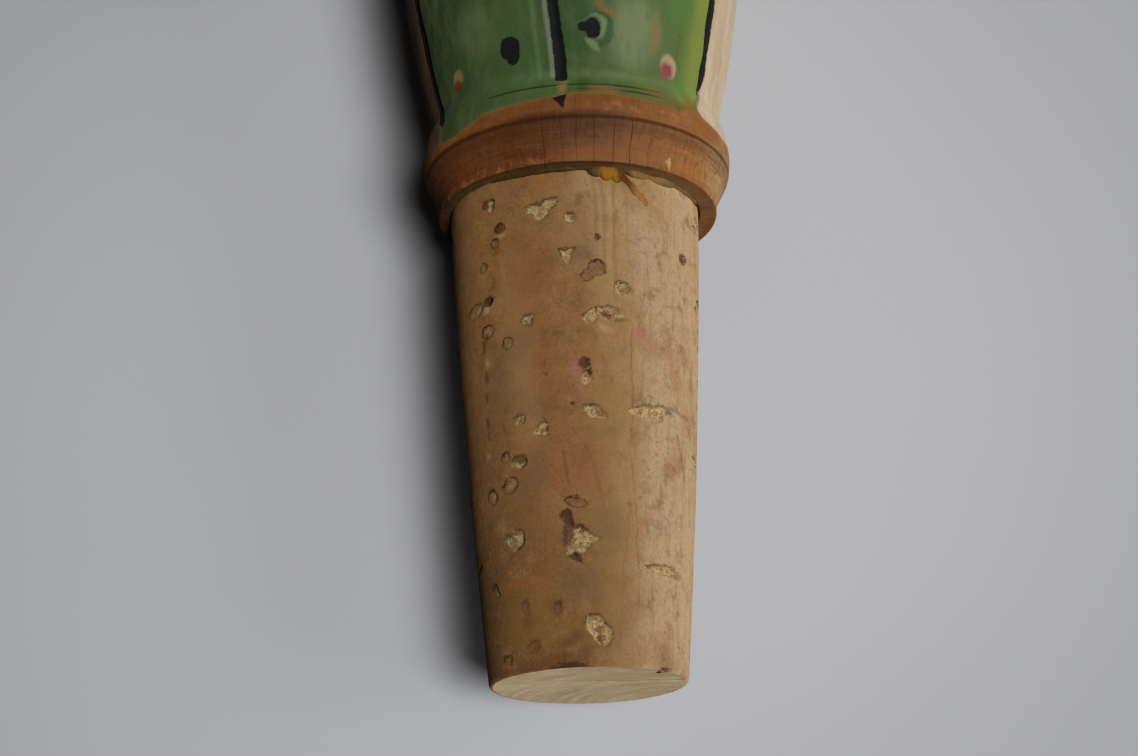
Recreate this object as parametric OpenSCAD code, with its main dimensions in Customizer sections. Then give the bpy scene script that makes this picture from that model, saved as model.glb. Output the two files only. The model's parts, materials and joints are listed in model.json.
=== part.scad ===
// A hand-carved wooden bottle stopper on a tapered natural cork.
// It lies on the flat of its back: Y runs along the stopper, from the cork's free end to the
// rounded top, and the carved front faces up. The origin is under the middle of its length.

/* [Cork] */
// Radius of the cork's free end
cork_end_r = 8; // [6.5:0.1:8.8]
// Radius of the cork where it meets the collar
cork_top_r = 10.95; // [9:0.05:13.2]
// Length of cork that shows below the collar
cork_len = 41.6; // [30:0.2:50]
// How far the cork's side swells out past a straight taper
cork_swell = 0.28; // [0:0.02:0.5]
// Chamfer round the cork's free end
cork_chamfer = 0.3; // [0.1:0.05:0.8]
// How far the cork sits off the collar's centre, to the left as seen from the front
cork_offset = 0.3; // [0:0.05:0.5]

/* [Collar] */
// Width of the flat ring that shows round the cork
seat_w = 1.4; // [1.2:0.05:3]
// Height of the straight land above the lower edge
land_h = 1.1; // [0.5:0.1:2]
// How far the crest stands out past the lower edge
crest_out = 1.35; // [0.5:0.05:2.5]
// Height of the crest above the collar's underside
crest_h = 4.9; // [4:0.1:6]
// How far the neck above the collar draws in from the crest
neck_in = 0.8; // [0.5:0.05:2]
// Height of the neck above the collar's underside
neck_h = 8.3; // [7:0.1:10]
// Height of the scored line round the collar
line_h = 3.55; // [2.6:0.05:4]
// Width of a scored line
line_w = 0.3; // [0.2:0.05:0.6]
// Depth of a scored line
line_d = 0.18; // [0.1:0.02:0.4]

/* [Carved body] */
// Radius of the body at its widest
body_r = 16.8; // [16:0.1:22]
// Height of the widest point above the collar's underside
body_h = 38.5; // [26:0.5:50]
// Height of the rounded top above the widest point
dome_h = 16.5; // [12:0.5:22]
// How quickly the body flares above the neck: 1 is a straight cone
flare_power = 1.8; // [1.4:0.1:2.4]

/* [Carved coat] */
// Height of the coat's neckline above the widest point
neckline_h = 10; // [6:0.5:11.5]
// Height of the lower end of the front opening above the collar's underside
opening_h = 7; // [6:0.1:9]
// Width of the front opening
opening_w = 0.9; // [0.5:0.1:1.5]
// Depth of the front opening
opening_d = 0.4; // [0.2:0.05:0.8]
// Angle from the front opening to a side seam
seam_angle = 63; // [50:1:75]
// Width of a side seam
seam_w = 0.6; // [0.4:0.1:1.2]
// Depth of a side seam
seam_d = 0.25; // [0.1:0.05:0.6]

/* [Dowel and seats] */
// Radius of the hidden dowel
dowel_r = 4; // [3:0.1:5]
// Length of dowel inside the cork
dowel_in_cork = 20; // [12:0.5:25]
// Length of dowel inside the carved body
dowel_in_body = 14; // [8:0.5:20]
// Glue gap round the dowel and at its ends
dowel_gap = 0.1; // [0.05:0.05:0.2]
// Depth of the shallow recess that the cork's top sits in
recess_d = 0.8; // [0.4:0.1:2]
// Glue gap round the cork's top in its recess
recess_gap = 0.15; // [0.1:0.05:0.3]

/* [Hidden] */

rim_r = cork_top_r + seat_w;    // the collar's lower edge
crest_r = rim_r + crest_out;    // the collar's widest point, which the stopper lies on
neck_r = crest_r - neck_in;     // the waist between the collar and the coat
wood_h = body_h + dome_h;       // the carved wood's height above the collar's underside
total_len = cork_len + wood_h;  // the whole stopper, end to end
over = 1;                       // how far a cutting tool runs past what it cuts
cork_steps = 12;                // straight stretches along the cork's swelling side
crest_steps = 12;               // straight stretches over the crest
flare_steps = 16;               // straight stretches up the flare
dome_steps = 18;                // straight stretches over the rounded top
$fn = 96;

// The crest is an arc that goes through the neck, so its radius follows from both.
crest_arc_r = (pow(neck_in, 2) + pow(neck_h - crest_h, 2)) / (2 * neck_in);
function crest_at(h) = crest_r - crest_arc_r + sqrt(pow(crest_arc_r, 2) - pow(h - crest_h, 2));

// The flare, at a share t of the way from the neck to the widest point.
function flare_at(t) = neck_r + (body_r - neck_r) * (1 - pow(1 - t, flare_power));

// The rounded top is a quarter of an ellipse.
function dome_at(h) = body_r * sqrt(1 - pow(h / dome_h, 2));

// The cork's side: a straight taper plus a parabola for the swell.
function cork_at(h) =
    cork_end_r + (cork_top_r - cork_end_r) * h / cork_len
    + 4 * cork_swell * h * (cork_len - h) / pow(cork_len, 2);

// The wood's turned outline, from the collar's underside to the top of the dome.
wood_outline = concat(
    [[0, 0], [rim_r, 0], [rim_r, land_h]],
    [for (i = [0 : crest_steps])
        let (h = line_h + (neck_h - line_h) * i / crest_steps) [crest_at(h), h]],
    [for (i = [1 : flare_steps])
        let (t = i / flare_steps) [flare_at(t), neck_h + (body_h - neck_h) * t]],
    [for (i = [1 : dome_steps])
        let (h = dome_h * sin(90 * i / dome_steps)) [dome_at(h), body_h + h]]
);

// The turned blank, with its side drawn in towards the axis by inset.
module wood_blank(inset) {
    rotate_extrude()
        intersection() {
            translate([-inset, 0]) polygon(wood_outline);
            square([2 * body_r, wood_h]);
        }
}

// A V scored round the blank where its radius is r.
module scored_line(r, h) {
    mouth = line_w / 2 * (line_d + over) / line_d;
    rotate_extrude()
        polygon([[r - line_d, h], [r + over, h - mouth], [r + over, h + mouth]]);
}

// A line carved up the blank, at an angle from the front. It ends in the neckline's lower flank.
module carved_line(width, depth, from_h, angle) {
    to_h = body_h + neckline_h - line_w / 4;
    rotate([0, 0, angle])
        intersection() {
            difference() {
                wood_blank(-over);
                wood_blank(depth);
            }
            translate([-width / 2, -body_r - 2 * over, from_h])
                cube([width, body_r, to_h - from_h]);
        }
}

// Lays a piece modelled upright, with its front to -Y, down on its back.
module laid() {
    translate([0, -total_len / 2, crest_r]) rotate([-90, 0, 0]) children();
}

// Moves a piece or a bore onto the cork's own axis.
module on_cork_axis() {
    translate([-cork_offset, 0, 0]) children();
}

module carved_body() {
    color("olivedrab")
        laid() difference() {
            translate([0, 0, cork_len]) difference() {
                wood_blank(0);
                scored_line(crest_at(line_h), line_h);
                scored_line(dome_at(neckline_h), body_h + neckline_h);
                carved_line(opening_w, opening_d, opening_h, 0);
                for (side = [-1, 1])
                    carved_line(seam_w, seam_d, neck_h, side * seam_angle);
            }
            // the flat of the back, level with the collar's crest
            translate([-body_r - over, crest_r, cork_len])
                cube([2 * (body_r + over), body_r, wood_h + over]);
            on_cork_axis() {
                translate([0, 0, cork_len - over])
                    cylinder(r = cork_top_r + recess_gap, h = recess_d + over);
                translate([0, 0, cork_len])
                    cylinder(r = dowel_r + dowel_gap, h = recess_d + dowel_in_body + dowel_gap);
            }
        }
}

module cork() {
    color("burlywood")
        laid() on_cork_axis() difference() {
            rotate_extrude()
                polygon(concat(
                    [[0, 0], [cork_end_r - cork_chamfer, 0]],
                    [for (i = [0 : cork_steps])
                        let (h = cork_chamfer + (cork_len - cork_chamfer) * i / cork_steps)
                        [cork_at(h), h]],
                    [[cork_top_r, cork_len + recess_d], [0, cork_len + recess_d]]
                ));
            translate([0, 0, cork_len + recess_d - dowel_in_cork - dowel_gap])
                cylinder(r = dowel_r + dowel_gap, h = dowel_in_cork + dowel_gap + over);
        }
}

module dowel() {
    color("wheat")
        laid() on_cork_axis()
            translate([0, 0, cork_len + recess_d - dowel_in_cork])
                cylinder(r = dowel_r, h = dowel_in_cork + dowel_in_body);
}

carved_body();
cork();
dowel();
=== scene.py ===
import json
import math

import bpy
import numpy as np
from mathutils import Matrix, Vector

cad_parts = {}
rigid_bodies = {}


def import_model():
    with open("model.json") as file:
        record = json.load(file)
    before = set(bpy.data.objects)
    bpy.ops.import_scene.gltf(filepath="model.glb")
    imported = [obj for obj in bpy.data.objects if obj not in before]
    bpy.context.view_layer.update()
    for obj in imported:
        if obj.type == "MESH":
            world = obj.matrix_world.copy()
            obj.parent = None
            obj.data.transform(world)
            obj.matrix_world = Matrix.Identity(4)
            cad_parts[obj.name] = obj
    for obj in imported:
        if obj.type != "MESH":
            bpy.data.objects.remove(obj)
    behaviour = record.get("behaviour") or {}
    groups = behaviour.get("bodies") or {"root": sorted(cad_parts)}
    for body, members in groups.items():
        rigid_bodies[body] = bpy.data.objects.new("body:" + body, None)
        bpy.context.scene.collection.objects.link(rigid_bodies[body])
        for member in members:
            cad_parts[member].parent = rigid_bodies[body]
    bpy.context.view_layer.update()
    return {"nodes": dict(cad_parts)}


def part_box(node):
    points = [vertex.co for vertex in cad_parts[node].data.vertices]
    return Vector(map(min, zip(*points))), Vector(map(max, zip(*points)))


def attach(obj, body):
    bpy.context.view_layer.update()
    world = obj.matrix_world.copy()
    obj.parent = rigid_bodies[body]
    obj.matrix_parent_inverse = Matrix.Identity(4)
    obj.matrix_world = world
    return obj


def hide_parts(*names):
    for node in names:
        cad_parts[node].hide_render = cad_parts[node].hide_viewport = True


# The looks of a carved bottle stopper: turned and painted wood, a natural cork and dried glue.
# Shapes are worked out in millimetres and turned to metres when a mesh is made.
# along = distance up the stopper from the cork's free end
# turn = degrees from the carved front, positive towards +X

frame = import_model()
mm = 0.001
bodyLow, bodyHigh = [np.array(corner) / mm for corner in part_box("carved_body")]
corkLow, corkHigh = [np.array(corner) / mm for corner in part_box("cork")]
dowelLow, dowelHigh = [np.array(corner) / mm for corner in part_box("dowel")]
freeEndY = corkLow[1]
corkLen = bodyLow[1] - freeEndY            # cork that shows below the collar
recessDepth = corkHigh[1] - bodyLow[1]
bodyR = (bodyHigh[0] - bodyLow[0]) / 2
corkTopR = (corkHigh[0] - corkLow[0]) / 2
dowelR = (dowelHigh[0] - dowelLow[0]) / 2
woodX = (bodyLow[0] + bodyHigh[0]) / 2
corkX = (corkLow[0] + corkHigh[0]) / 2
axisZ = (corkLow[2] + corkHigh[2]) / 2
crestR = axisZ                             # the collar's crest lies on the ground
bevel = 0.04                               # the small step at a hidden edge
farOutside = -5.0                          # a field's value where none of its patches is near


def softStep(low, high, value):
    # 3t2 - 2t3 of the share t of the way from low to high
    share = np.clip((value - low) / (high - low), 0, 1)
    return share * share * (3 - 2 * share)


def latticeNoise(points, size, seed):
    # a hashed number from -1 to 1 at each corner of a lattice, blended by 3t2 - 2t3 on each axis
    scaled = points / size
    cell = np.floor(scaled).astype(np.int64)
    share = scaled - cell
    share = share * share * (3 - 2 * share)
    total = np.zeros(points.shape[:-1])
    for corner in np.ndindex(2, 2, 2):
        x, y, z = np.moveaxis(cell + np.array(corner), -1, 0)
        mixed = (x * 73856093 ^ y * 19349663 ^ z * 83492791 ^ seed * 40503) & 0xFFFFFFFF
        mixed = (mixed ^ mixed >> 15) * 739982445 & 0xFFFFFFFF
        mixed = (mixed ^ mixed >> 12) * 695872825 & 0xFFFFFFFF
        value = (mixed >> 9 & 0xFFFF) / 32767.5 - 1
        total += value * np.prod(np.where(np.array(corner) == 1, share, 1 - share), axis=-1)
    return total


def roughNoise(points, size, seed, octaves=3):
    # lattice noise, plus half as much at half the size, and so on
    return sum(latticeNoise(points, size / 2 ** k, seed + k) / 2 ** k for k in range(octaves))


def scallops(across, along, width, length, seed):
    # gouge cuts: 1 - d2, where d is the distance to the nearest of one random point in each cell
    u, v = across / width, along / length
    cellU, cellV = np.floor(u).astype(np.int64), np.floor(v).astype(np.int64)
    nearest = np.full(u.shape, 9.0)
    for stepU, stepV in np.ndindex(3, 3):
        cu, cv = cellU + stepU - 1, cellV + stepV - 1
        mixed = (cu * 668265263 ^ cv * 374761393 ^ seed * 40503) & 0xFFFFFFFF
        mixed = (mixed ^ mixed >> 13) * 739982445 & 0xFFFFFFFF
        pointU = cu + (mixed >> 4 & 0xFFF) / 4095
        pointV = cv + (mixed >> 17 & 0xFFF) / 4095
        nearest = np.minimum(nearest, (u - pointU) ** 2 + (v - pointV) ** 2)
    return 1 - np.minimum(nearest, 1)


def smoothMin(first, second, size):
    # the smaller of two values, rounded off where they meet
    share = np.clip(0.5 + 0.5 * (second - first) / size, 0, 1)
    return second + (first - second) * share - size * share * (1 - share)


def hill(value, middle, width):
    # 1 in the middle and 0 far off: e to the minus d2
    return np.exp(-((value - middle) / width) ** 2)


def turnGap(turn, centre):
    # degrees from centre, from -180 to 180
    return (turn - centre + 180) % 360 - 180


def ringGrid(rings, settings):
    # each ring's level and radius repeated over columns of turns, which are close together
    # across the front and further apart round the back
    half = settings["frontHalf"]
    front = np.linspace(-half, half, settings["frontColumns"], endpoint=False)
    back = np.linspace(half, 360 - half, settings["backColumns"], endpoint=False)
    turn = np.concatenate([front, back])
    level = np.repeat(rings[:, :1], len(turn), axis=1)
    radius = np.repeat(rings[:, 1:], len(turn), axis=1)
    return level, radius, np.repeat(turn[None], len(rings), axis=0)


def around(radius, angle, y, middleX=0.0, middleZ=0.0):
    # points at a radius and an angle round a line along Y: x = r sin, z = r cos
    x = middleX + radius * np.sin(angle)
    z = middleZ + radius * np.cos(angle)
    return np.stack(np.broadcast_arrays(x, y, z), -1)


def solidFromRings(name, rings, poles=None):
    # a closed skin: rings joined by quads all the way round, and a fan to a pole at each end,
    # which is the middle of the end ring when no poles are given
    rowCount, columnCount = rings.shape[:2]
    poles = poles or [rings[0].mean(axis=0), rings[-1].mean(axis=0)]
    points = np.concatenate([rings.reshape(-1, 3), poles])
    index = np.arange(rowCount * columnCount).reshape(rowCount, columnCount)
    beside = np.roll(index, -1, axis=1)
    quads = np.stack([index[:-1], beside[:-1], beside[1:], index[1:]], -1).reshape(-1, 4)
    poleAt = rowCount * columnCount
    firstFan = np.stack([beside[0], index[0], np.full(columnCount, poleAt)], -1)
    lastFan = np.stack([index[-1], beside[-1], np.full(columnCount, poleAt + 1)], -1)
    fans = np.concatenate([firstFan, lastFan])
    volume = 0.0                           # the sum of a . (b x c) over the triangles
    for faces, two, three in ((fans, 1, 2), (quads, 1, 2), (quads, 2, 3)):
        crossed = np.cross(points[faces[:, two]], points[faces[:, three]])
        volume += np.einsum("ij,ij->i", points[faces[:, 0]], crossed).sum()
    if volume < 0:                         # faces point outwards
        quads, fans = quads[:, ::-1], fans[:, ::-1]
    mesh = bpy.data.meshes.new(name)
    mesh.vertices.add(len(points))
    mesh.vertices.foreach_set("co", (points * mm).astype(np.float32).ravel())
    corners = np.concatenate([quads.ravel(), fans.ravel()])
    mesh.loops.add(len(corners))
    mesh.loops.foreach_set("vertex_index", corners.astype(np.int32))
    sizes = np.concatenate([np.full(len(quads), 4), np.full(len(fans), 3)])
    starts = np.concatenate([[0], np.cumsum(sizes)[:-1]])
    mesh.polygons.add(len(sizes))
    mesh.polygons.foreach_set("loop_start", starts.astype(np.int32))
    mesh.polygons.foreach_set("loop_total", sizes.astype(np.int32))
    mesh.polygons.foreach_set("use_smooth", np.ones(len(sizes), bool))
    mesh.update(calc_edges=True)
    mesh.validate()
    piece = bpy.data.objects.new(name, mesh)
    bpy.context.scene.collection.objects.link(piece)
    return piece


def storeField(piece, name, values):
    # a number for each point, with each pole taking its ring's mean
    everyPoint = np.concatenate([values.ravel(), [values[0].mean(), values[-1].mean()]])
    attribute = piece.data.attributes.new(name, "FLOAT", "POINT")
    attribute.data.foreach_set("value", everyPoint.astype(np.float32))


def patchInside(grid, patch):
    # how far inside a patch each point lies, in millimetres
    #   round: (1 - q) * half the short side, where q is the distance in units of the half sides
    #   lens: half the height * (1 - (2u / width)2) - |v|
    #   wedge: a triangle with its point to the right, from its two long sides and its base
    #   moon: a round less a smaller round that is shifted to its left
    along, turn, width, height, tilt, *shape = patch
    across = np.radians(turnGap(grid["turn"], turn)) * grid["radius"] + grid["shiftU"]
    up = grid["along"] - along + grid["shiftV"]
    c, s = math.cos(math.radians(tilt)), math.sin(math.radians(tilt))
    u, v = across * c + up * s, up * c - across * s
    if "lens" in shape:
        return height / 2 * (1 - (2 * u / width) ** 2) - np.abs(v)
    if "wedge" in shape:
        return np.minimum(height / 2 * (0.5 - u / width) - np.abs(v), u + width / 2)
    halfShort = min(width, height) / 2
    whole = (1 - np.hypot(2 * u / width, 2 * v / height)) * halfShort
    if "moon" in shape:
        bite = (1 - np.hypot(2.6 * (u + 0.16 * width) / width, 2.4 * v / height)) * halfShort
        return np.minimum(whole, -bite)
    return whole


def strokeInside(grid, ends, width):
    # half the width less the distance to a straight stroke between two places
    (along1, turn1), (along2, turn2) = ends
    across = np.radians(turnGap(grid["turn"], turn1)) * grid["radius"] + grid["shiftU"]
    up = grid["along"] - along1 + grid["shiftV"]
    radius = np.interp(along1, grid["along"][:, 0], grid["radius"].mean(axis=1))
    endU, endV = math.radians(turn2 - turn1) * radius, along2 - along1
    share = np.clip((across * endU + up * endV) / (endU ** 2 + endV ** 2), 0, 1)
    return width / 2 - np.hypot(across - share * endU, up - share * endV)


def tone(red, green, blue):
    # an sRGB colour from 0 to 255 as Blender's linear colour
    shares = np.array([red, green, blue]) / 255
    linear = np.where(shares <= 0.04045, shares / 12.92, ((shares + 0.055) / 1.055) ** 2.4)
    return (*linear.tolist(), 1.0)


bench = {"tree": None}                     # the node tree that add puts its nodes in
socketNames = {
    "specular": "Specular IOR Level",
    "matt": "Diffuse Roughness",
    "roughness": "Roughness",
}


def wire(socket, value):
    # another node's output is linked in, and a plain value is set
    if isinstance(value, bpy.types.NodeSocket):
        socket.id_data.links.new(value, socket)
    else:
        socket.default_value = value


def add(kind, inputs=None, **settings):
    # a new node with its settings and its inputs
    node = bench["tree"].nodes.new("ShaderNode" + kind)
    for key, value in settings.items():
        setattr(node, key, value)
    for key, value in (inputs or {}).items():
        wire(node.inputs[key], value)
    return node


def newMaterial(name, **sockets):
    # the sockets given here have one value all over
    material = bpy.data.materials.new(name)
    material.use_nodes = True
    bench["tree"] = material.node_tree
    shader = material.node_tree.nodes["Principled BSDF"]
    for socket, value in sockets.items():
        shader.inputs[socketNames[socket]].default_value = value
    return material, shader


def dress(shader, colour, roughness, normal):
    # what varies over a surface
    for socket, value in (("Base Color", colour), ("Roughness", roughness), ("Normal", normal)):
        wire(shader.inputs[socket], value)


def field(name):
    # a number that the mesh stores for each point
    return add("Attribute", attribute_name=name).outputs["Fac"]


def calc(operation, first, second=0.0):
    return add("Math", {0: first, 1: second}, operation=operation).outputs[0]


def times(first, *others):
    # a product of numbers that nodes give
    for other in others:
        first = calc("MULTIPLY", first, other)
    return first


def plus(first, *others):
    # their sum
    for other in others:
        first = calc("ADD", first, other)
    return first


def distance(vector, middle):
    # how far a place is from a fixed point
    return add("VectorMath", {0: vector, 1: middle}, operation="DISTANCE").outputs["Value"]


def axis(vector, number):
    # one of a vector's three numbers
    return add("SeparateXYZ", {"Vector": vector}).outputs[number]


def ease(value, low, high, fromValue=0.0, toValue=1.0):
    # an eased share of the way from low to high, scaled to run between two values
    inputs = dict(zip(range(5), (value, low, high, fromValue, toValue)))
    return add("MapRange", inputs, interpolation_type="SMOOTHSTEP").outputs[0]


def near(value, middle, inner, outer, strength=1.0):
    # strength within inner of the middle, fading to nothing at outer
    gap = calc("ABSOLUTE", calc("SUBTRACT", value, middle))
    return ease(gap, inner, outer, strength, 0.0)


def layer(amount, under, over):
    # over laid on under by amount
    inputs = {0: amount, 6: under, 7: over}
    return add("Mix", inputs, data_type="RGBA", blend_type="MIX").outputs[2]


def tints(surface, coats):
    # each coat's colour laid on by its amount, one after another
    for amount, colour in coats:
        surface = layer(amount, surface, tone(*colour))
    return surface


def blend(amount, low, high):
    # a number between two numbers
    return add("Mix", {0: amount, 2: low, 3: high}, data_type="FLOAT").outputs[0]


def millimetres(stretch=(1, 1, 1), tilt=0.0):
    # object coordinates in millimetres; a stretch below 1 draws a pattern out along that axis
    coordinates = add("TexCoord").outputs["Object"]
    turned = {"Vector": coordinates, "Rotation": (0, math.radians(tilt), 0)}
    turned["Scale"] = tuple(part / mm for part in stretch)
    return add("Mapping", turned).outputs[0]


def cloud(vector, size, detail=2.0, roughness=0.5, warp=0.0):
    # noise from 0 to 1, one blot about size millimetres across
    inputs = {"Vector": vector, "Scale": 1 / size, "Detail": detail}
    inputs |= {"Roughness": roughness, "Distortion": warp}
    return add("TexNoise", inputs).outputs[0]


def flecks(vector, spacing, size, share):
    # dots of size in one cell out of every few, spacing apart
    node = add("TexVoronoi", {"Vector": vector, "Scale": 1 / spacing})
    chosen = axis(node.outputs["Color"], 0)
    dot = ease(node.outputs["Distance"], 0.4 * size / spacing, size / spacing, 1, 0)
    return times(dot, calc("LESS_THAN", chosen, share))


def bump(height, depth):
    # relief of depth millimetres
    return add("Bump", {"Height": height, "Distance": depth * mm, "Strength": 1.0}).outputs[0]


cork = {
    "endR": 8.15, "chamfer": 0.3, "swell": 0.28,
    "boreGap": 0.1,
    "frontHalf": 82, "frontColumns": 196, "backColumns": 92,
    "sideRows": 270, "faceRings": 26, "edgeRows": 4,
    "wall": 0.12,                          # how far in from its edge a pit reaches its depth
    "ragged": 0.13, "crumbs": 0.06,        # how far a pit's edge wanders, large and small
    "floorD": 0.09,                        # how rough a pit's floor is
    "shadeTurn": 115,                      # the side of a pit where its dark rim is strongest, in degrees from the right
    "grainD": 0.012,
    "dentD": 0.05, "dentIn": 0.04,         # broad dents in the side, and their mean depth
    "faceIn": 0.05, "faceD": 0.03,         # the end face's mean depth and how rough it is
    # the crack in the end face: depth, half its width, height above the middle and slope
    "splitD": 0.12, "splitHalf": 0.14, "splitUp": 1.6, "splitLean": 0.16,
    "rimChip": (0.1, 56, 1.3, 0.8, 20, "wedge"), "chipD": 0.3,
    "lineAlong": (0, 6, 13, 16, 42),       # the growth line up the front's right
    "lineTurn": (34.0, 34.5, 32.5, 31.0, 31.0),
    "backPits": 90,
    "seed": 11,
}

# what a kind of patch does: its depth, the strength of its dark rim and the finish that
# fills it; any other kind is a stain in the finish of its own name
patchKinds = {
    "pale": (0.34, 0.85, "pale"),
    "dark": (0.42, 0.9, "umber"),
    "brown": (0.16, 1.0, "brown"),
    "ring": (0.12, 0.9, None),
    "spot": (0.12, 0.55, "brown"),
    "stain": (0.0, 0.0, "brown"),
    "shade": (0.0, 0.0, "umber"),
    "white": (0.05, 0.0, "white"),
    "purple": (0.3, 0.7, "purple"),
}

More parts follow.
